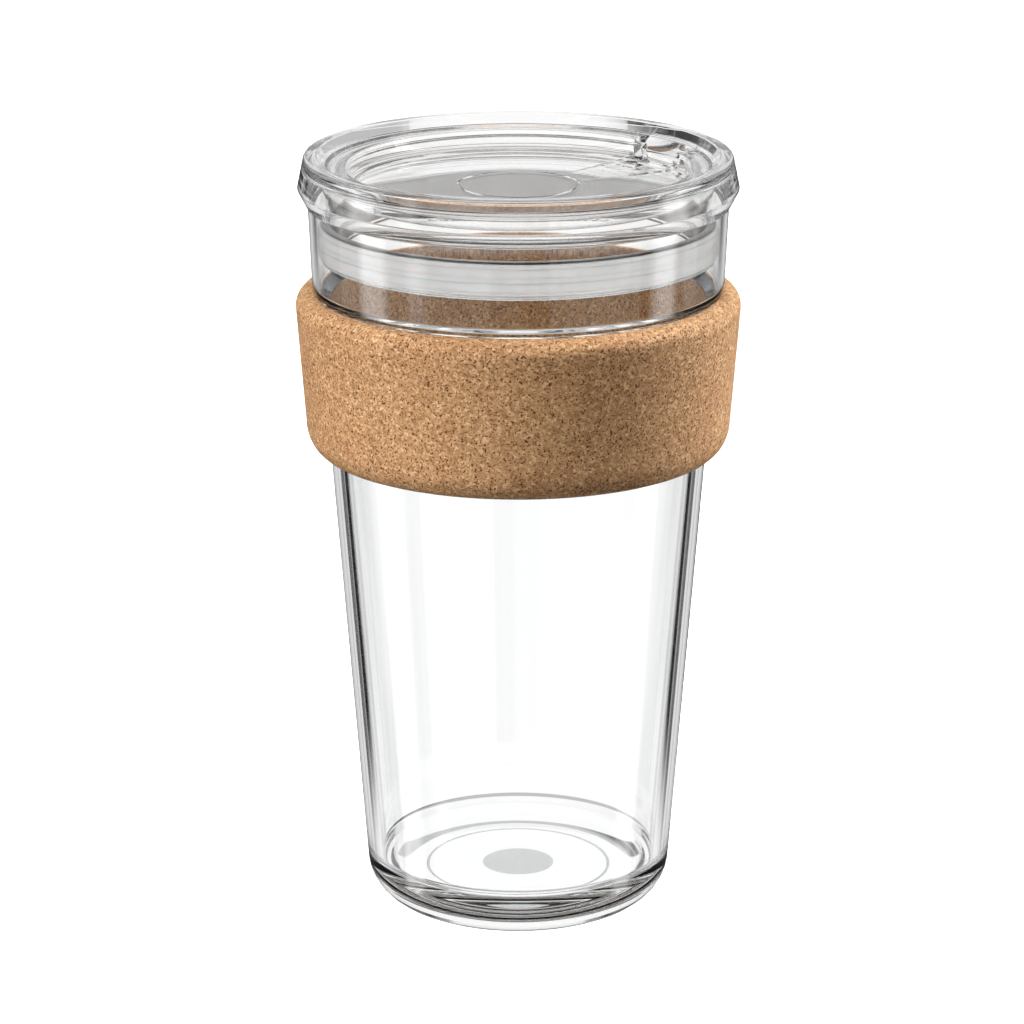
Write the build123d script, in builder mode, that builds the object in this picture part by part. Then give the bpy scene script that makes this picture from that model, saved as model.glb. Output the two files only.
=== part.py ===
"""Reusable glass coffee cup: a tapered tumbler, a cork grip band and a clear sip lid with its seal.

Units are millimetres, +Z is up, and the origin is the centre of the base on the table.
Every piece is a solid of revolution about Z, apart from the sip ramp and the holes of the lid.
"""
from build123d import *
from math import cos, radians, sin
import os

# ---- Driving dimensions ----
OVERALL_HEIGHT = 160.0
RIM_HEIGHT = 150.9

# Tumbler
BASE_RADIUS = 31.15  # of the outer cone, carried down to the table
CONE_SLOPE = 0.0782  # growth of the outer radius for each millimetre of height
WALL = 3.0
FLOOR_HEIGHT = 9.5
HEEL_RADIUS = 9.3
FLOOR_CORNER = 2.3
SHOULDER_HEIGHT = 132.2  # the wide collar of the glass starts here, just over the cork
COLLAR_RADIUS = 42.2
COLLAR_SLOPE = 0.043
COLLAR_WALL = 1.45
LEDGE_LOW, LEDGE_HIGH = 130.8, 133.6

# Cork band
CORK_LOW, CORK_HIGH = 98.5, 132.0
CORK_THICKNESS = 4.46
CORK_CLEARANCE = 0.12
CORK_HEEL = 6.2  # height of the long rounding at the lower edge
CORK_TOP_FILLET = 3.2

# Lid: one thin-walled moulding, open from below around its skirt and around its dish
FLANGE_RADIUS, FLANGE_HEIGHT = 45.06, 153.4
FLANGE_BOTTOM = 150.2  # the flange reaches down over the rim of the glass
DISH_FLOOR, DISH_UNDERSIDE = 153.6, 151.9
DISC_RADIUS = 23.6
SKIRT_BOTTOM, LIP_TOP = 139.3, 147.0
SKIRT_INNER, LIP_RADIUS = 37.35, 40.3
GROOVE_LOW, GROOVE_HIGH, GROOVE_RADIUS = 140.1, 146.6, 38.8
MARK_RADIUS, MARK_WIDTH, MARK_DEPTH = 12.6, 0.7, 0.25

# Sip ramp and holes
SIP_DIRECTION = 33.0  # degrees from +X towards +Y
SIP_WIDTH = 15.6
SIP_FOOT = (34.2, 153.75)
SIP_LIP = (40.8, 159.4)
SIP_FILL_ARC = 29.0  # degrees over which the gap under the ramp is filled
HOLE_LENGTH, HOLE_WIDTH, HOLE_CENTRE = 10.6, 3.0, 34.0
VENT_RADIUS, VENT_CENTRE = 0.8, 29.0

# Seal
SEAL_GAP = 0.1
SEAL_BODY = 40.7
RIB_HEIGHTS = (141.9, 144.8)
RIB_HALF_HEIGHT = 1.0


def cone(height):
    """Outer radius of the tapered glass at a height."""
    return BASE_RADIUS + CONE_SLOPE * height


def collar(height):
    """Outer radius of the wide top of the glass at a height."""
    return COLLAR_RADIUS + COLLAR_SLOPE * (height - SHOULDER_HEIGHT)


def bore(height):
    """Inner radius of the wide top of the glass at a height."""
    return collar(height) - COLLAR_WALL


def corner(section, radius, height):
    """The vertex of a section nearest to a given radius and height."""
    return section.vertices().sort_by_distance((radius, height, 0))[0]


os.makedirs("parts", exist_ok=True)

# ---- Tumbler ----
with BuildPart() as glass_tumbler:
    with BuildSketch(Plane.XZ) as glass_section:
        with BuildLine():
            Polyline(
                (0, 0),
                (BASE_RADIUS, 0),
                (cone(SHOULDER_HEIGHT - 0.1), SHOULDER_HEIGHT - 0.1),
                (collar(SHOULDER_HEIGHT + 0.8), SHOULDER_HEIGHT + 0.8),
                (collar(RIM_HEIGHT), RIM_HEIGHT),
                (bore(RIM_HEIGHT), RIM_HEIGHT),
                (bore(LEDGE_HIGH), LEDGE_HIGH),
                (cone(LEDGE_LOW) - WALL, LEDGE_LOW),
                (cone(FLOOR_HEIGHT) - WALL, FLOOR_HEIGHT),
                (0, FLOOR_HEIGHT),
                close=True,
            )
        make_face()
        fillet(corner(glass_section, BASE_RADIUS, 0), HEEL_RADIUS)
        fillet(corner(glass_section, cone(FLOOR_HEIGHT) - WALL, FLOOR_HEIGHT), FLOOR_CORNER)
        fillet(corner(glass_section, cone(LEDGE_LOW) - WALL, LEDGE_LOW), 1.0)
        fillet(corner(glass_section, bore(LEDGE_HIGH), LEDGE_HIGH), 1.0)
        fillet(corner(glass_section, collar(SHOULDER_HEIGHT + 0.8), SHOULDER_HEIGHT + 0.8), 0.5)
        fillet(corner(glass_section, collar(RIM_HEIGHT), RIM_HEIGHT), 0.68)
        fillet(corner(glass_section, bore(RIM_HEIGHT), RIM_HEIGHT), 0.68)
    revolve(axis=Axis.Z)
glass_tumbler.part.label = "glass_tumbler"
export_step(glass_tumbler.part, "parts/glass_tumbler.step")

# ---- Cork band ----
with BuildPart() as cork_band:
    with BuildSketch(Plane.XZ) as cork_section:
        with BuildLine():
            inner_low = (cone(CORK_LOW) + CORK_CLEARANCE, CORK_LOW)
            inner_high = (cone(CORK_HIGH) + CORK_CLEARANCE, CORK_HIGH)
            outer_high = (cone(CORK_HIGH) + CORK_THICKNESS, CORK_HIGH)
            heel_top = (cone(CORK_LOW + CORK_HEEL) + CORK_THICKNESS, CORK_LOW + CORK_HEEL)
            heel_foot = (cone(CORK_LOW) + 0.7, CORK_LOW)
            Polyline(heel_foot, inner_low, inner_high, outer_high, heel_top)
            TangentArc(heel_top, heel_foot, tangent=(-CONE_SLOPE, -1))
        make_face()
        fillet(corner(cork_section, *outer_high), CORK_TOP_FILLET)
        fillet(corner(cork_section, *inner_high), 0.6)
    revolve(axis=Axis.Z)
cork_band.part.label = "cork_band"
export_step(cork_band.part, "parts/cork_band.step")

# ---- Seal ----
with BuildPart() as silicone_seal:
    with BuildSketch(Plane.XZ) as seal_section:
        with BuildLine():
            Polyline(
                (GROOVE_RADIUS, GROOVE_LOW),
                (SEAL_BODY, GROOVE_LOW),
                (SEAL_BODY, GROOVE_HIGH),
                (GROOVE_RADIUS, GROOVE_HIGH),
                close=True,
            )
        make_face()
        fillet(corner(seal_section, SEAL_BODY, GROOVE_LOW), 0.5)
        fillet(corner(seal_section, SEAL_BODY, GROOVE_HIGH), 0.5)
        for rib_height in RIB_HEIGHTS:
            with Locations((SEAL_BODY - 0.3, rib_height)):
                Ellipse(bore(rib_height) - SEAL_GAP - SEAL_BODY + 0.3, RIB_HALF_HEIGHT)
    revolve(axis=Axis.Z)
silicone_seal.part.label = "silicone_seal"
export_step(silicone_seal.part, "parts/silicone_seal.step")

# ---- Lid ----
sip = (cos(radians(SIP_DIRECTION)), sin(radians(SIP_DIRECTION)))
sip_plane = Plane(origin=(0, 0, 0), x_dir=(sip[0], sip[1], 0), z_dir=(sip[1], -sip[0], 0))
fill_start = radians(SIP_DIRECTION - SIP_FILL_ARC / 2)
fill_plane = Plane(
    origin=(0, 0, 0),
    x_dir=(cos(fill_start), sin(fill_start), 0),
    z_dir=(sin(fill_start), -cos(fill_start), 0),
)

with BuildPart() as clear_lid:
    with BuildSketch(Plane.XZ) as lid_section:
        with BuildLine():
            Polyline(
                (0, DISH_FLOOR),
                (DISC_RADIUS, DISH_FLOOR),
                (34.6, DISH_FLOOR + 0.4),
                (35.25, 157.6),
                (39.3, 157.85),
                (41.1, OVERALL_HEIGHT),
                (43.7, OVERALL_HEIGHT),
                (FLANGE_RADIUS, FLANGE_HEIGHT),
                (43.4, FLANGE_BOTTOM),
                (43.1, FLANGE_BOTTOM),
                (41.9, 157.3),
                (40.6, 157.0),
                (38.85, LIP_TOP),
                (LIP_RADIUS, LIP_TOP),
                (LIP_RADIUS, GROOVE_HIGH),
                (GROOVE_RADIUS, GROOVE_HIGH),
                (GROOVE_RADIUS, GROOVE_LOW),
                (LIP_RADIUS, GROOVE_LOW),
                (LIP_RADIUS, SKIRT_BOTTOM),
                (SKIRT_INNER, SKIRT_BOTTOM),
                (SKIRT_INNER, 146.0),
                (39.1, 156.0),
                (36.9, 155.9),
                (36.25, DISH_UNDERSIDE + 0.3),
                (0, DISH_UNDERSIDE),
                close=True,
            )
        make_face()
        fillet(corner(lid_section, 34.6, DISH_FLOOR + 0.4), 2.4)
        fillet(corner(lid_section, 35.25, 157.6), 0.35)
        fillet(corner(lid_section, 39.3, 157.85), 0.5)
        fillet(corner(lid_section, 41.1, OVERALL_HEIGHT), 0.6)
        fillet(corner(lid_section, 43.7, OVERALL_HEIGHT), 0.9)
        fillet(corner(lid_section, FLANGE_RADIUS, FLANGE_HEIGHT), 0.5)
        fillet(corner(lid_section, 41.9, 157.3), 0.6)
        fillet(corner(lid_section, 40.6, 157.0), 0.6)
        fillet(corner(lid_section, LIP_RADIUS, SKIRT_BOTTOM), 0.35)
        fillet(corner(lid_section, SKIRT_INNER, SKIRT_BOTTOM), 0.35)
        fillet(corner(lid_section, SKIRT_INNER, 146.0), 3.0)
        fillet(corner(lid_section, 39.1, 156.0), 0.6)
        fillet(corner(lid_section, 36.9, 155.9), 0.6)
        fillet(corner(lid_section, 36.25, DISH_UNDERSIDE + 0.3), 1.2)
    revolve(axis=Axis.Z)
    with BuildSketch(fill_plane):
        with BuildLine():
            Polyline((36.2, 153.9), (39.0, 153.9), (40.0, 157.3), (36.2, 157.3), close=True)
        make_face()
    revolve(axis=Axis.Z, revolution_arc=SIP_FILL_ARC)
    with BuildSketch(sip_plane) as ramp_section:
        with BuildLine():
            Polyline(SIP_FOOT, SIP_LIP, (SIP_LIP[0], SIP_LIP[1] + 2), (SIP_FOOT[0], SIP_LIP[1] + 2), close=True)
        make_face()
    extrude(amount=SIP_WIDTH / 2, both=True, mode=Mode.SUBTRACT)
    with BuildSketch(Plane.XY.offset(DISH_UNDERSIDE - 1)) as holes:
        with Locations((HOLE_CENTRE * sip[0], HOLE_CENTRE * sip[1])):
            SlotOverall(HOLE_LENGTH, HOLE_WIDTH, rotation=SIP_DIRECTION + 90)
        with Locations((-VENT_CENTRE * sip[0], -VENT_CENTRE * sip[1])):
            Circle(VENT_RADIUS)
    extrude(amount=OVERALL_HEIGHT - DISH_UNDERSIDE, mode=Mode.SUBTRACT)
    with BuildSketch(Plane.XY.offset(DISH_FLOOR - MARK_DEPTH)) as mark_ring:
        Circle(MARK_RADIUS)
        Circle(MARK_RADIUS - MARK_WIDTH, mode=Mode.SUBTRACT)
    extrude(amount=MARK_DEPTH, mode=Mode.SUBTRACT)
clear_lid.part.label = "clear_lid"
export_step(clear_lid.part, "parts/clear_lid.step")
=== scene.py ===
"""A glass travel cup with a cork band and a clear sip lid, in a studio set up for the photo's angle."""
from math import cos, pi, radians, sin, tan

import bmesh
import bpy
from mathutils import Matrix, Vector


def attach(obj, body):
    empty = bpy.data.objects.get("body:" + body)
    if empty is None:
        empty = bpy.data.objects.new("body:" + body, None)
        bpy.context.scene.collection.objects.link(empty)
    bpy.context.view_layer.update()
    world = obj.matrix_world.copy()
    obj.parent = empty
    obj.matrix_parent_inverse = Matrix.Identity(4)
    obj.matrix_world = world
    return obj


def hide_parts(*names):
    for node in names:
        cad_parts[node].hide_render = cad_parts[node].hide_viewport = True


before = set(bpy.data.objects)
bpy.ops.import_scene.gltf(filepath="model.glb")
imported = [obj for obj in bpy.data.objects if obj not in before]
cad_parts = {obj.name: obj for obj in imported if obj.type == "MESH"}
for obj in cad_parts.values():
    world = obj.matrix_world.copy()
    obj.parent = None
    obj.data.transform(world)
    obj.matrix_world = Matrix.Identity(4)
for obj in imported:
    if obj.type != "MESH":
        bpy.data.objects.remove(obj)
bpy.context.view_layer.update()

MM = 0.001

# ---- Sizes of the pieces, in millimetres, as the CAD has them ----
OVERALL_HEIGHT = 160.0
RIM_HEIGHT = 150.9

BASE_RADIUS, CONE_SLOPE, WALL = 31.15, 0.0782, 3.0
FLOOR_HEIGHT, HEEL_RADIUS, FLOOR_CORNER = 9.5, 9.3, 2.3
SHOULDER_HEIGHT, COLLAR_RADIUS, COLLAR_SLOPE, COLLAR_WALL = 132.2, 42.2, 0.043, 1.45
SHOULDER_LOW, SHOULDER_HIGH = SHOULDER_HEIGHT - 0.1, SHOULDER_HEIGHT + 0.8
LEDGE_LOW, LEDGE_HIGH, LEDGE_FILLET = 130.8, 133.6, 1.0
RIM_ROUNDING = 0.68

RING_INNER, RING_OUTER, DISC_RADIUS = 18.9, 19.5, 7.5
PRINT_LOW, PRINT_HIGH = 0.03, 0.08

CORK_LOW, CORK_HIGH = 98.5, 132.0
CORK_THICKNESS, CORK_CLEARANCE = 4.46, 0.12
CORK_HEEL, CORK_TOP_FILLET, CORK_EDGE = 6.2, 3.2, 0.6
CORK_FOOT = 0.7  # how far the foot of the band stands out from the glass
GRANULE_SIZE = 0.55  # of the cork

GROOVE_LOW, GROOVE_HIGH, GROOVE_RADIUS = 140.1, 146.6, 38.8
LIP_TOP, SKIRT_BOTTOM = 147.0, 139.3
SKIRT_INNER, SKIRT_OUTER = 37.35, 40.3
FLANGE_RADIUS, FLANGE_HEIGHT, FLANGE_BOTTOM = 45.06, 153.4, 150.2
DISH_FLOOR, DISH_UNDERSIDE = 153.6, 151.9
# The ring engraved in the dish, whose sides slant a little
MARK_INNER, MARK_OUTER, MARK_SLANT, MARK_FLOOR = 11.9, 12.6, 0.05, 153.35
SEAL_GAP, SEAL_BODY, SEAL_FILLET = 0.1, 40.7, 0.5
RIB_HEIGHTS, RIB_HALF_HEIGHT = (141.9, 144.8), 1.0

SIP_DIRECTION = 33.0  # degrees from +X towards +Y
SIP_WIDTH, SIP_EDGE = 15.6, 0.5  # each side wall falls over twice the edge
SLOT_LENGTH, SLOT_WIDTH, SLOT_CENTRE = 10.6, 3.0, 34.0
VENT_RADIUS, VENT_CENTRE = 0.8, 29.0
HOLE_LOW = 151.0  # below the underside of the dish

# ---- Fineness of the meshes ----
PLAIN_SEGMENTS = 360
ARC_STEPS = 8
RIB_STEPS = 8
HEEL_STEPS = 16
HOLE_STEPS = 48
MERGE_DISTANCE = 0.002  # millimetres
# Extra lines across each side wall of the sip ramp, in degrees from its middle
RAMP_LINES, RAMP_FIRST_LINE, RAMP_LINE_STEP = 36, 9, 0.2

# ---- Clear materials: refractive index, darkest and lightest tint, size of the cloudiness in mm ----
GLASS = (1.5, (0.990, 0.995, 0.994), (0.994, 0.997, 0.996), 30.0)
PLASTIC = (1.54, (0.990, 0.990, 0.988), (0.994, 0.994, 0.992), 20.0)


def cone(height):
    """Outer radius of the tapered glass at a height."""
    return BASE_RADIUS + CONE_SLOPE * height


def collar(height):
    """Outer radius of the wide top of the glass at a height."""
    return COLLAR_RADIUS + COLLAR_SLOPE * (height - SHOULDER_HEIGHT)


def bore(height):
    """Inner radius of the wide top of the glass at a height."""
    return collar(height) - COLLAR_WALL


# ---- Mesh tools ----
def rounded(corners):
    """The points of an outline of (radius, height, rounding) corners, with an arc at each rounding."""
    points = []
    count = len(corners)
    for i, (radius, height, rounding) in enumerate(corners):
        here = Vector((radius, height))
        if not rounding:
            points.append(here)
            continue
        back = (Vector(corners[i - 1][:2]) - here).normalized()
        ahead = (Vector(corners[(i + 1) % count][:2]) - here).normalized()
        half = back.angle(ahead) / 2
        centre = here + (back + ahead).normalized() * rounding / sin(half)
        first = here + back * rounding / tan(half) - centre
        last = here + ahead * rounding / tan(half) - centre
        for k in range(ARC_STEPS + 1):
            points.append(centre + first.slerp(last, k / ARC_STEPS).normalized() * rounding)
    return points


def even_azimuths():
    """Evenly spaced directions around Z, in radians."""
    return [2 * pi * k / PLAIN_SEGMENTS for k in range(PLAIN_SEGMENTS)]


def as_object(name, mesh):
    """The object made from a mesh that was being built, with its faces turned outwards."""
    bmesh.ops.recalc_face_normals(mesh, faces=mesh.faces)
    data = bpy.data.meshes.new(name)
    mesh.to_mesh(data)
    mesh.free()
    made = bpy.data.objects.new(name, data)
    bpy.context.scene.collection.objects.link(made)
    return made


def turned(name, outline_at, azimuths, closed):
    """A closed mesh of an outline turned about Z. outline_at gives the outline at an azimuth in radians."""
    mesh = bmesh.new()
    rings = []
    for azimuth in azimuths:
        along = (cos(azimuth) * MM, sin(azimuth) * MM)
        rings.append([mesh.verts.new((r * along[0], r * along[1], z * MM)) for r, z in outline_at(azimuth)])
    spans = len(rings[0]) if closed else len(rings[0]) - 1
    for near, far in zip(rings, rings[1:] + rings[:1]):
        for k in range(spans):
            m = (k + 1) % len(near)
            mesh.faces.new((near[k], near[m], far[m], far[k]))
    bmesh.ops.remove_doubles(mesh, verts=mesh.verts, dist=MERGE_DISTANCE * MM)
    piece = as_object(name, mesh)
    piece.data.shade_smooth()
    return piece


def weigh_normals(piece, sharp_angle=40.0):
    """Keeps flat stretches flat and sharp corners sharp under smooth shading."""
    piece.data.set_sharp_from_angle(angle=radians(sharp_angle))
    weighted = piece.modifiers.new("weighted_normals", "WEIGHTED_NORMAL")
    weighted.keep_sharp = True


def revolve(name, corners, closed=False):
    """A piece turned from one outline."""
    outline = rounded(corners)
    piece = turned(name, lambda azimuth: outline, even_azimuths(), closed)
    weigh_normals(piece)
    return piece


def stand_in(piece, node, body):
    """The piece shows in place of a CAD node and moves with its body."""
    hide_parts(node)
    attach(piece, body)


# ---- Materials ----
def new_material(name):
    """A material with its node tree and shader."""
    material = bpy.data.materials.new(name)
    material.use_nodes = True
    tree = material.node_tree
    return material, tree, tree.nodes["Principled BSDF"]


def object_point(tree):
    """Position on the piece, in metres."""
    return tree.nodes.new("ShaderNodeTexCoord").outputs["Object"]


def noise(tree, point, feature_mm, detail=2.0, rough=0.5):
    """Noise whose features are about as many millimetres across as stated, 0 to 1."""
    node = tree.nodes.new("ShaderNodeTexNoise")
    node.inputs["Scale"].default_value = 1 / (feature_mm * MM)
    node.inputs["Detail"].default_value = detail
    node.inputs["Roughness"].default_value = rough
    tree.links.new(point, node.inputs["Vector"])
    return node.outputs["Fac"]


def remap(tree, value, low, high, to_low=0.0, to_high=1.0):
    """The value moved from one range to another and held inside it."""
    node = tree.nodes.new("ShaderNodeMapRange")
    node.inputs["From Min"].default_value = low
    node.inputs["From Max"].default_value = high
    node.inputs["To Min"].default_value = to_low
    node.inputs["To Max"].default_value = to_high
    tree.links.new(value, node.inputs["Value"])
    return node.outputs[0]


def tones(tree, value, *stops):
    """A colour for each value between stops of (value, colour)."""
    node = tree.nodes.new("ShaderNodeValToRGB")
    elements = node.color_ramp.elements
    elements.remove(elements[1])
    elements[0].position = stops[0][0]
    elements[0].color = (*stops[0][1], 1)
    for position, colour in stops[1:]:
        elements.new(position).color = (*colour, 1)
    tree.links.new(value, node.inputs[0])
    return node.outputs[0]


def mix_colours(tree, factor, a, b, blend="MIX"):
    """Colour a turned into colour b by a factor. A colour is a socket or three numbers."""
    node = tree.nodes.new("ShaderNodeMix")
    node.data_type = "RGBA"
    node.blend_type = blend
    for value, index in ((factor, 0), (a, 6), (b, 7)):
        if isinstance(value, bpy.types.NodeSocket):
            tree.links.new(value, node.inputs[index])
        elif isinstance(value, tuple):
            node.inputs[index].default_value = (*value, 1)
        else:
            node.inputs[index].default_value = value
    return node.outputs[2]


def bump(tree, shader, height, strength, depth_mm):
    """Gives the shader's surface a fine relief."""
    node = tree.nodes.new("ShaderNodeBump")
    node.inputs["Strength"].default_value = strength
    node.inputs["Distance"].default_value = depth_mm * MM
    tree.links.new(height, node.inputs["Height"])
    tree.links.new(node.outputs[0], shader.inputs["Normal"])


def clear(name, index, dark_tint, light_tint, cloud_mm):
    """A polished clear material with a faint cloudiness in its tint."""
    material, tree, shader = new_material(name)
    shader.inputs["Roughness"].default_value = 0.0
    shader.inputs["IOR"].default_value = index
    shader.inputs["Transmission Weight"].default_value = 1.0
    cloud = noise(tree, object_point(tree), cloud_mm)
    tree.links.new(tones(tree, cloud, (0.35, dark_tint), (0.65, light_tint)), shader.inputs["Base Color"])
    return material


def silicone():
    """Milky silicone, satin, with a faint haze in its gloss."""
    material, tree, shader = new_material("silicone")
    point = object_point(tree)
    haze = noise(tree, point, feature_mm=4.0)
    milk = tones(tree, haze, (0.3, (0.44, 0.435, 0.43)), (0.7, (0.49, 0.485, 0.48)))
    tree.links.new(milk, shader.inputs["Base Color"])
    tree.links.new(remap(tree, haze, 0.3, 0.7, to_low=0.30, to_high=0.42), shader.inputs["Roughness"])
    shader.inputs["Subsurface Weight"].default_value = 0.3
    shader.inputs["Subsurface Scale"].default_value = 2 * MM
    grain = noise(tree, point, feature_mm=0.4)
    bump(tree, shader, grain, strength=0.15, depth_mm=0.02)
    return material


def cork():
    """Moulded agglomerated cork: fine granules in several tones, dark specks of bark and a soft relief."""
    material, tree, shader = new_material("cork")
    point = object_point(tree)

    granules = tree.nodes.new("ShaderNodeTexVoronoi")
    granules.inputs["Scale"].default_value = 1 / (GRANULE_SIZE * MM)
    tree.links.new(point, granules.inputs["Vector"])
    tone = tree.nodes.new("ShaderNodeSeparateColor")
    tree.links.new(granules.outputs["Color"], tone.inputs[0])
    colour = tones(
        tree, tone.outputs[0],
        (0.00, (0.380, 0.190, 0.080)),
        (0.30, (0.500, 0.278, 0.130)),
        (0.75, (0.580, 0.330, 0.160)),
        (1.00, (0.750, 0.490, 0.265)),
    )
    fine = noise(tree, point, feature_mm=0.3, detail=3.0)
    fine_tones = tones(tree, fine, (0.3, (0.28, 0.28, 0.28)), (0.7, (0.68, 0.68, 0.68)))
    colour = mix_colours(tree, 0.8, colour, fine_tones, "OVERLAY")
    patches = noise(tree, point, feature_mm=16.0, detail=3.0)
    patch_tones = tones(tree, patches, (0.3, (0.42, 0.40, 0.38)), (0.7, (0.56, 0.56, 0.56)))
    colour = mix_colours(tree, 0.6, colour, patch_tones, "OVERLAY")
    bark = noise(tree, point, feature_mm=0.45, detail=1.5, rough=0.6)
    specks = remap(tree, bark, 0.585, 0.635)
    colour = mix_colours(tree, specks, colour, (0.095, 0.036, 0.014))
    tree.links.new(colour, shader.inputs["Base Color"])
    shader.inputs["Roughness"].default_value = 0.75
    shader.inputs["Specular IOR Level"].default_value = 0.25
    relief = mix_colours(tree, specks, fine, (0.0, 0.0, 0.0))
    bump(tree, shader, relief, strength=0.5, depth_mm=0.12)
    return material


def frosting():
    """The pale print under the base."""
    material, tree, shader = new_material("frosting")
    grain = noise(tree, object_point(tree), feature_mm=0.6)
    pale = tones(tree, grain, (0.3, (0.50, 0.51, 0.51)), (0.7, (0.58, 0.59, 0.59)))
    tree.links.new(pale, shader.inputs["Base Color"])
    shader.inputs["Roughness"].default_value = 0.7
    return material


# ---- Pieces ----
def build_tumbler():
    corners = [
        (0, 0, 0),
        (BASE_RADIUS, 0, HEEL_RADIUS),
        (cone(SHOULDER_LOW), SHOULDER_LOW, 0.2),
        (collar(SHOULDER_HIGH), SHOULDER_HIGH, 0.5),
        (collar(RIM_HEIGHT), RIM_HEIGHT, RIM_ROUNDING),
        (bore(RIM_HEIGHT), RIM_HEIGHT, RIM_ROUNDING),
        (bore(LEDGE_HIGH), LEDGE_HIGH, LEDGE_FILLET),
        (cone(LEDGE_LOW) - WALL, LEDGE_LOW, LEDGE_FILLET),
        (cone(FLOOR_HEIGHT) - WALL, FLOOR_HEIGHT, FLOOR_CORNER),
        (0, FLOOR_HEIGHT, 0),
    ]
    piece = revolve("tumbler", corners)
    piece.data.materials.append(clear("clear_glass", *GLASS))
    stand_in(piece, "glass_tumbler", "cup")


def build_print():
    """A plain ring and a plain disc printed under the base, just inside the glass."""
    material = frosting()
    for name, inner, outer in (("base_ring", RING_INNER, RING_OUTER), ("base_disc", 0.0, DISC_RADIUS)):
        corners = [
            (inner, PRINT_LOW, 0),
            (outer, PRINT_LOW, 0),
            (outer, PRINT_HIGH, 0),
            (inner, PRINT_HIGH, 0),
        ]
        piece = revolve(name, corners, closed=inner > 0)
        piece.data.materials.append(material)
        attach(piece, "cup")


def build_cork():
    heel_high = CORK_LOW + CORK_HEEL
    heel = []
    outer = cone(heel_high) + CORK_THICKNESS
    foot = cone(CORK_LOW) + CORK_FOOT
    for k in range(HEEL_STEPS + 1):
        turn = k / HEEL_STEPS * pi / 2
        heel.append((foot + (outer - foot) * sin(turn), heel_high - CORK_HEEL * cos(turn), 0))
    corners = [
        (cone(CORK_LOW) + CORK_CLEARANCE, CORK_LOW, 0),
        *heel,
        (cone(CORK_HIGH) + CORK_THICKNESS, CORK_HIGH, CORK_TOP_FILLET),
        (cone(CORK_HIGH) + CORK_CLEARANCE, CORK_HIGH, CORK_EDGE),
    ]
    piece = revolve("cork_grip", corners, closed=True)
    piece.data.materials.append(cork())
    stand_in(piece, "cork_band", "band")


def build_seal():
    corners = [(GROOVE_RADIUS, GROOVE_LOW, 0), (SEAL_BODY, GROOVE_LOW, SEAL_FILLET)]
    for height in RIB_HEIGHTS:
        reach = bore(height) - SEAL_GAP - SEAL_BODY
        corners.append((SEAL_BODY, height - RIB_HALF_HEIGHT, 0))
        for k in range(1, RIB_STEPS):
            turn = pi * k / RIB_STEPS
            corners.append((SEAL_BODY + reach * sin(turn), height - RIB_HALF_HEIGHT * cos(turn), 0))
        corners.append((SEAL_BODY, height + RIB_HALF_HEIGHT, 0))
    corners += [(SEAL_BODY, GROOVE_HIGH, SEAL_FILLET), (GROOVE_RADIUS, GROOVE_HIGH, 0)]
    piece = revolve("seal_ring", corners, closed=True)
    piece.data.materials.append(silicone())
    stand_in(piece, "silicone_seal", "lid")


# The outline of the lid from its centre outwards along the top: (radius, height, rounding)
LID_TOP = [
    (0, DISH_FLOOR, 0),
    (MARK_INNER, DISH_FLOOR, 0),
    (MARK_INNER + MARK_SLANT, MARK_FLOOR, 0),
    (MARK_OUTER - MARK_SLANT, MARK_FLOOR, 0),
    (MARK_OUTER, DISH_FLOOR, 0),
    (23.6, DISH_FLOOR, 0),
    (34.6, 154.0, 2.4),
    (35.25, 157.6, 0.35),
    (39.3, 157.85, 0.5),
    (41.1, OVERALL_HEIGHT, 0.6),
    (43.7, OVERALL_HEIGHT, 0.9),
    (FLANGE_RADIUS, FLANGE_HEIGHT, 0.5),
]
# and back to its centre along the underside
LID_UNDER = [
    (43.4, FLANGE_BOTTOM, 0.12),
    (43.1, FLANGE_BOTTOM, 0.12),
    (41.9, 157.3, 0.6),
    (40.6, 157.0, 0.6),
    (38.85, LIP_TOP, 0),
    (SKIRT_OUTER, LIP_TOP, 0.15),
    (SKIRT_OUTER, GROOVE_HIGH, 0),
    (GROOVE_RADIUS, GROOVE_HIGH, 0),
    (GROOVE_RADIUS, GROOVE_LOW, 0),
    (SKIRT_OUTER, GROOVE_LOW, 0),
    (SKIRT_OUTER, SKIRT_BOTTOM, 0.35),
    (SKIRT_INNER, SKIRT_BOTTOM, 0.35),
    (SKIRT_INNER, 146.0, 3.0),
    (39.1, 156.0, 0.6),
    (36.9, 155.9, 0.6),
    (36.25, 152.2, 1.2),
    (0, DISH_UNDERSIDE, 0),
]
# The corners that move where the sip ramp cuts in, as they are there
AT_RAMP = {
    (34.6, 154.0, 2.4): (34.3, 154.35, 0.8),
    (35.25, 157.6, 0.35): (36.4, 155.6, 0.4),
    (39.3, 157.85, 0.5): (39.9, 158.6, 0.4),
    (39.1, 156.0, 0.6): (38.7, 154.0, 0.6),
    (36.9, 155.9, 0.6): (36.6, 153.9, 0.6),
    (36.25, 152.2, 1.2): (36.25, 152.2, 0.5),
}


def prism(outline, low, high):
    """A temporary closed prism over an outline of points, in millimetres."""
    mesh = bmesh.new()
    rings = [[mesh.verts.new((x * MM, y * MM, z * MM)) for x, y in outline] for z in (low, high)]
    for k in range(len(outline)):
        m = (k + 1) % len(outline)
        mesh.faces.new((rings[0][k], rings[0][m], rings[1][m], rings[1][k]))
    mesh.faces.new(rings[0][::-1])
    mesh.faces.new(rings[1])
    return as_object("cutter", mesh)


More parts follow.
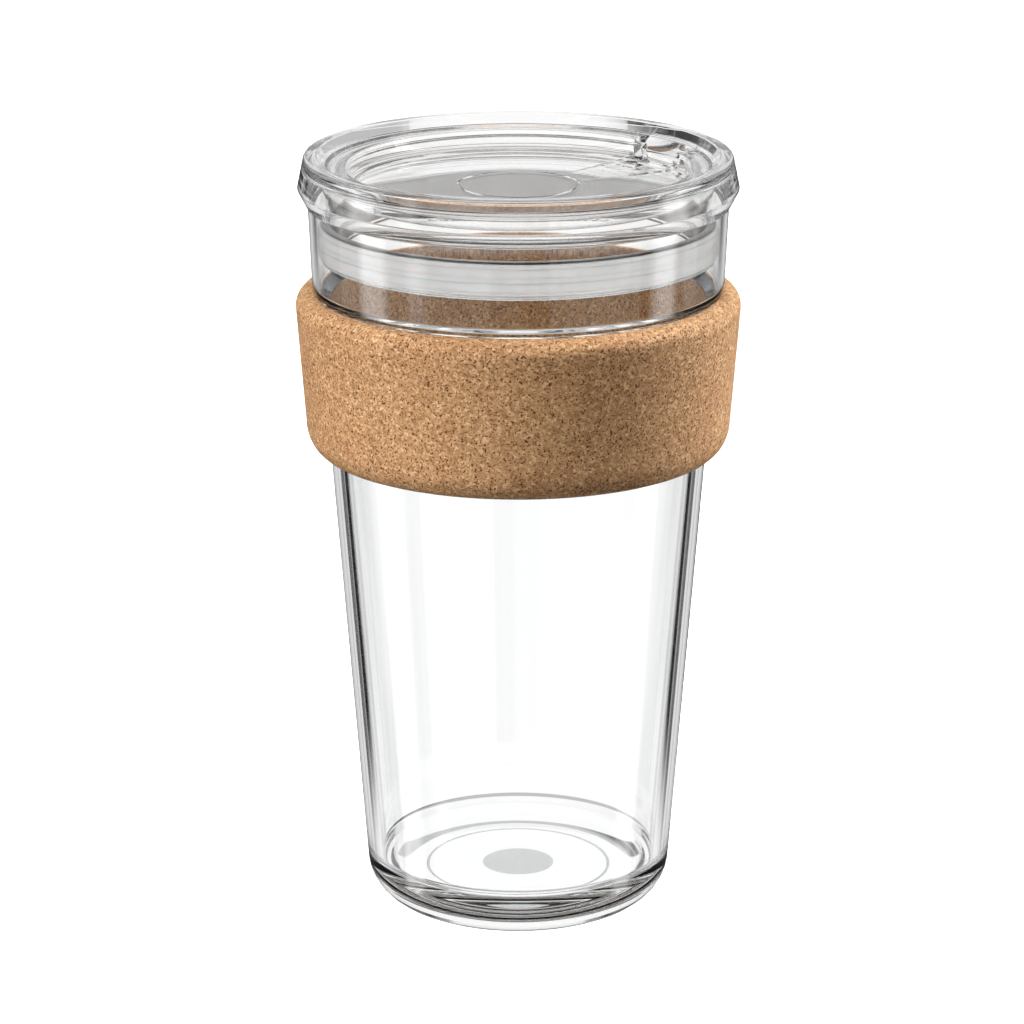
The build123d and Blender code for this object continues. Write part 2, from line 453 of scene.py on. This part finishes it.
def cut_holes(piece):
    """Cuts the drinking slot at the foot of the ramp, and the vent across from it."""
    middle = radians(SIP_DIRECTION)
    out, across = Vector((cos(middle), sin(middle))), Vector((-sin(middle), cos(middle)))
    end_radius = SLOT_WIDTH / 2
    reach = SLOT_LENGTH / 2 - end_radius
    slot, vent = [], []
    for k in range(HOLE_STEPS):
        turn = 2 * pi * k / HOLE_STEPS
        side = reach if sin(turn) >= 0 else -reach
        slot.append(out * (SLOT_CENTRE + end_radius * cos(turn)) + across * (side + end_radius * sin(turn)))
        vent.append(out * (-VENT_CENTRE + VENT_RADIUS * cos(turn)) + across * VENT_RADIUS * sin(turn))
    for outline in (slot, vent):
        cutter = prism(outline, HOLE_LOW, OVERALL_HEIGHT + 1)
        cut = piece.modifiers.new("hole", "BOOLEAN")
        cut.operation = "DIFFERENCE"
        cut.solver = "EXACT"
        cut.object = cutter
        with bpy.context.temp_override(object=piece, active_object=piece):
            bpy.ops.object.modifier_apply(modifier=cut.name)
        bpy.data.objects.remove(cutter)


def build_lid():
    corners = LID_TOP + LID_UNDER
    plain = rounded(corners)
    ramped = rounded([AT_RAMP.get(corner, corner) for corner in corners])
    middle = radians(SIP_DIRECTION)
    half = SIP_WIDTH / 2

    def outline_at(azimuth):
        """The plain outline, turning smoothly into the ramp's between the ramp's side walls."""
        if cos(azimuth - middle) <= 0:
            return plain
        outline = []
        for a, b in zip(plain, ramped):
            off_centre = abs(a[0] * sin(azimuth - middle))
            share = min(max((half + SIP_EDGE - off_centre) / (2 * SIP_EDGE), 0), 1)
            share = share * share * (3 - 2 * share)
            outline.append(a.lerp(b, share))
        return outline

    lines = [radians(RAMP_FIRST_LINE + RAMP_LINE_STEP * k) for k in range(RAMP_LINES)]
    near_walls = [middle + side * line for side in (-1, 1) for line in lines]
    azimuths = sorted({round(a % (2 * pi), 5) for a in even_azimuths() + near_walls})
    piece = turned("lid_shell", outline_at, azimuths, closed=False)
    cut_holes(piece)
    weigh_normals(piece)
    piece.data.materials.append(clear("clear_plastic", *PLASTIC))
    stand_in(piece, "clear_lid", "lid")


# ---- Studio: directions in degrees, with azimuth from +X towards +Y, and brightness with white as 1 ----
OPEN_SKY = 1.3  # above the floor, as the camera sees it
BEHIND_GLASS = 3.5  # even light on the solid pieces that show through clear ones

# What shows through clear pieces: a bright backdrop, a dark band above it, and a lighter zenith
BACKDROP, DARK_BAND, ZENITH = 1.35, 0.02, 1.0
BAND_STARTS, BAND_ENDS = (26, 28.5), (74, 88)
# Dark cards give clear pieces their dark edges: stops of (degrees aside of a direction, darkness)
WALL_CARDS = (
    (8, 0.0), (11, 0.12), (14, 0.0), (19, 0.0), (21, 0.5), (24, 0.1), (27, 0.2),
    (28.5, 1.0), (33, 1.0), (34.5, 0.7), (36, 1.0), (40, 1.0), (44, 0.5), (60, 0.5), (62, 0.0),
)
COLLAR_CARDS = ((18, 0.0), (20.5, 0.6), (24, 0.7), (27, 1.0), (30, 0.8), (42, 0.8), (46, 0.4), (62, 0.0))
CARD_SPAN, CARD_SOFTNESS = 90.0, 2.0
# Where the cards stand, as (azimuth, lowest, highest, cards). They are placed for a few views only: the
# first two rows for the photo's angle and 0,3, and the others for 45,25, then 225,15, then 90,3. From
# angles between those, such as 30,15, cards stand straight behind the cup and its glass looks dark.
CARD_ROWS = (
    (90, -23, -15, WALL_CARDS),
    (90, -15, 5, COLLAR_CARDS),
    (135, -34, -24, WALL_CARDS),
    (315, -24, -6, WALL_CARDS),
    (180, -8, 4, WALL_CARDS),
)

# What polished surfaces mirror: a room that is dim below, and tall softboxes
ROOM_DIM, ROOM_BRIGHT, ROOM_TURNS = 0.08, 0.8, (-2, 12)
# Softboxes and panels are rows of (azimuth, half width, softness, brightness)
SOFTBOXES = ((182, 9, 9.0, 5.0), (358, 8, 9.0, 5.0), (212, 5, 8.0, 2.25))
SOFTBOX_LOW, SOFTBOX_HIGH = -30, 50

# What lights the cork and the seal: a soft overhead glow and a panel at each side
OVERHEAD, OVERHEAD_FADES = 0.8, (30, 75)
PANELS = ((216, 18, 16.0, 9.6), (18, 18, 16.0, 14.0))
PANEL_LOW, PANEL_HIGH = -15, 60

# The floor under the cup, in metres, with its shade as a source of bounced light, and its shade and glow
# as the camera sees it
STUDIO_FLOOR_SIZE, STUDIO_FLOOR_HEIGHT = 12, -0.0002
FLOOR_BOUNCED, FLOOR_SEEN, FLOOR_GLOW = 0.12, 0.9, 0.6

# The camera, fitted to the photo: place and reach in metres, tilt down in degrees, lens in millimetres
CAMERA_PLACE, CAMERA_REACH = (-0.0013, -0.87637, 0.34896), 20
CAMERA_TILT = 16.83
CAMERA_LENS, CAMERA_SENSOR = 154.6, 36

CLEAR_BOUNCES, MIRROR_BOUNCES = 32, 16


class Sky:
    """The world's nodes, and the direction that a ray looks in."""

    def __init__(self, tree):
        self.tree = tree
        coord = tree.nodes.new("ShaderNodeTexCoord")
        split = tree.nodes.new("ShaderNodeSeparateXYZ")
        tree.links.new(coord.outputs["Generated"], split.inputs[0])
        x, y, z = split.outputs
        self.azimuth = self.calculate("DEGREES", self.calculate("ARCTAN2", y, x))
        self.elevation = self.calculate("DEGREES", self.calculate("ARCSINE", z))

    def put(self, value, socket):
        """A number is set on a socket, and anything else is linked to it."""
        if isinstance(value, (int, float)):
            socket.default_value = value
        else:
            self.tree.links.new(value, socket)

    def calculate(self, operation, *values):
        node = self.tree.nodes.new("ShaderNodeMath")
        node.operation = operation
        for value, socket in zip(values, node.inputs):
            self.put(value, socket)
        return node.outputs[0]

    def ramp(self, value, low, high, to_low=0.0, to_high=1.0):
        """A smooth change from to_low to to_high as the value goes from low to high."""
        node = self.tree.nodes.new("ShaderNodeMapRange")
        node.interpolation_type = "SMOOTHSTEP"
        self.put(value, node.inputs["Value"])
        node.inputs["From Min"].default_value = low
        node.inputs["From Max"].default_value = high
        node.inputs["To Min"].default_value = to_low
        node.inputs["To Max"].default_value = to_high
        return node.outputs[0]

    def blend(self, factor, a, b):
        node = self.tree.nodes.new("ShaderNodeMix")
        node.data_type = "FLOAT"
        self.put(factor, node.inputs[0])
        self.put(a, node.inputs[2])
        self.put(b, node.inputs[3])
        return node.outputs[0]

    def aside(self, azimuth):
        """How far the direction is to either side of an azimuth."""
        away = self.calculate("SUBTRACT", self.azimuth, azimuth)
        return self.calculate("ABSOLUTE", self.calculate("WRAP", away, -180.0, 180.0))

    def between(self, low, high, soft):
        """1 between two elevations and 0 outside, with soft edges."""
        above = self.ramp(self.elevation, low - soft / 2, low + soft / 2)
        below = self.ramp(self.elevation, high - soft / 2, high + soft / 2, 1.0, 0.0)
        return self.calculate("MULTIPLY", above, below)

    def patch(self, azimuth, half_width, low, high, soft):
        """1 inside a patch of the sky and 0 outside, with soft edges."""
        edges = (half_width - soft / 2, half_width + soft / 2)
        inside = self.ramp(self.aside(azimuth), *edges, 1.0, 0.0)
        return self.calculate("MULTIPLY", inside, self.between(low, high, soft))

    def cards(self, azimuth, low, high, stops):
        """The darkness of the cards on both sides of an azimuth."""
        shares = [(degrees_aside / CARD_SPAN, (darkness,) * 3) for degrees_aside, darkness in stops]
        darkness = tones(self.tree, self.calculate("DIVIDE", self.aside(azimuth), CARD_SPAN), *shares)
        return self.calculate("MULTIPLY", darkness, self.between(low, high, CARD_SOFTNESS))

    def lamps(self, rows, low, high):
        """The sum of several patches, from rows of (azimuth, half width, softness, brightness)."""
        total = 0.0
        for azimuth, half_width, soft, brightness in rows:
            lamp = self.calculate("MULTIPLY", self.patch(azimuth, half_width, low, high, soft), brightness)
            total = self.calculate("ADD", lamp, total)
        return total


def seen_through(sky):
    """What clear pieces show behind them."""
    cards = 0.0
    for row in CARD_ROWS:
        cards = sky.calculate("MAXIMUM", sky.cards(*row), cards)
    above = sky.ramp(sky.elevation, *BAND_ENDS, DARK_BAND, ZENITH)
    field = sky.blend(sky.ramp(sky.elevation, *BAND_STARTS), BACKDROP, above)
    return sky.calculate("MULTIPLY", field, sky.calculate("SUBTRACT", 1.0, cards))


def mirrored(sky):
    """What polished surfaces mirror."""
    room = sky.ramp(sky.elevation, *ROOM_TURNS, ROOM_DIM, ROOM_BRIGHT)
    return sky.calculate("ADD", room, sky.lamps(SOFTBOXES, SOFTBOX_LOW, SOFTBOX_HIGH))


def light_on_solids(sky):
    """What lights the cork and the seal."""
    glow = sky.ramp(sky.elevation, *OVERHEAD_FADES, 0.0, OVERHEAD)
    return sky.calculate("ADD", glow, sky.lamps(PANELS, PANEL_LOW, PANEL_HIGH))


def build_world():
    """A sky with its own pattern for each kind of ray, which no real studio has."""
    world = bpy.data.worlds.new("studio")
    bpy.context.scene.world = world
    world.use_nodes = True
    tree = world.node_tree
    tree.nodes.clear()
    sky = Sky(tree)
    path = tree.nodes.new("ShaderNodeLightPath").outputs
    level = sky.blend(path["Is Transmission Ray"], mirrored(sky), seen_through(sky))
    # Rays that light a solid surface, and among them those that passed through a clear piece
    behind_glass = sky.calculate("GREATER_THAN", path["Transmission Depth"], 0.5)
    lights_solid = sky.calculate("GREATER_THAN", path["Diffuse Depth"], 0.5)
    solid_light = sky.blend(behind_glass, light_on_solids(sky), BEHIND_GLASS)
    level = sky.blend(lights_solid, level, solid_light)
    level = sky.blend(path["Is Camera Ray"], level, OPEN_SKY)
    background = tree.nodes.new("ShaderNodeBackground")
    tree.links.new(level, background.inputs["Strength"])
    output = tree.nodes.new("ShaderNodeOutputWorld")
    tree.links.new(background.outputs[0], output.inputs[0])


def build_floor():
    bpy.ops.mesh.primitive_plane_add(size=STUDIO_FLOOR_SIZE, location=(0, 0, STUDIO_FLOOR_HEIGHT))
    floor = bpy.context.object
    floor.name = "floor"
    material, tree, shader = new_material("floor")
    shader.inputs["Roughness"].default_value = 0.9
    shader.inputs["Specular IOR Level"].default_value = 0.0
    shader.inputs["Emission Color"].default_value = (1, 1, 1, 1)
    # Bright to the camera, and dim as a source of bounced light
    seen = tree.nodes.new("ShaderNodeLightPath").outputs["Is Camera Ray"]
    paint = tones(tree, seen, (0, (FLOOR_BOUNCED,) * 3), (1, (FLOOR_SEEN,) * 3))
    tree.links.new(paint, shader.inputs["Base Color"])
    tree.links.new(remap(tree, seen, 0, 1, 0.0, FLOOR_GLOW), shader.inputs["Emission Strength"])
    floor.data.materials.append(material)
    floor.visible_transmission = False
    floor.visible_glossy = False


def build_camera():
    data = bpy.data.cameras.new("camera")
    camera = bpy.data.objects.new("camera", data)
    bpy.context.scene.collection.objects.link(camera)
    data.lens = CAMERA_LENS
    data.sensor_width = CAMERA_SENSOR
    data.clip_end = CAMERA_REACH
    camera.location = CAMERA_PLACE
    camera.rotation_euler = (radians(90 - CAMERA_TILT), 0, 0)
    bpy.context.scene.camera = camera


build_tumbler()
build_print()
build_cork()
build_seal()
build_lid()
build_world()
build_floor()
build_camera()
bpy.context.scene.view_settings.view_transform = "Standard"
bpy.context.scene.cycles.max_bounces = CLEAR_BOUNCES
bpy.context.scene.cycles.transmission_bounces = CLEAR_BOUNCES
bpy.context.scene.cycles.glossy_bounces = MIRROR_BOUNCES
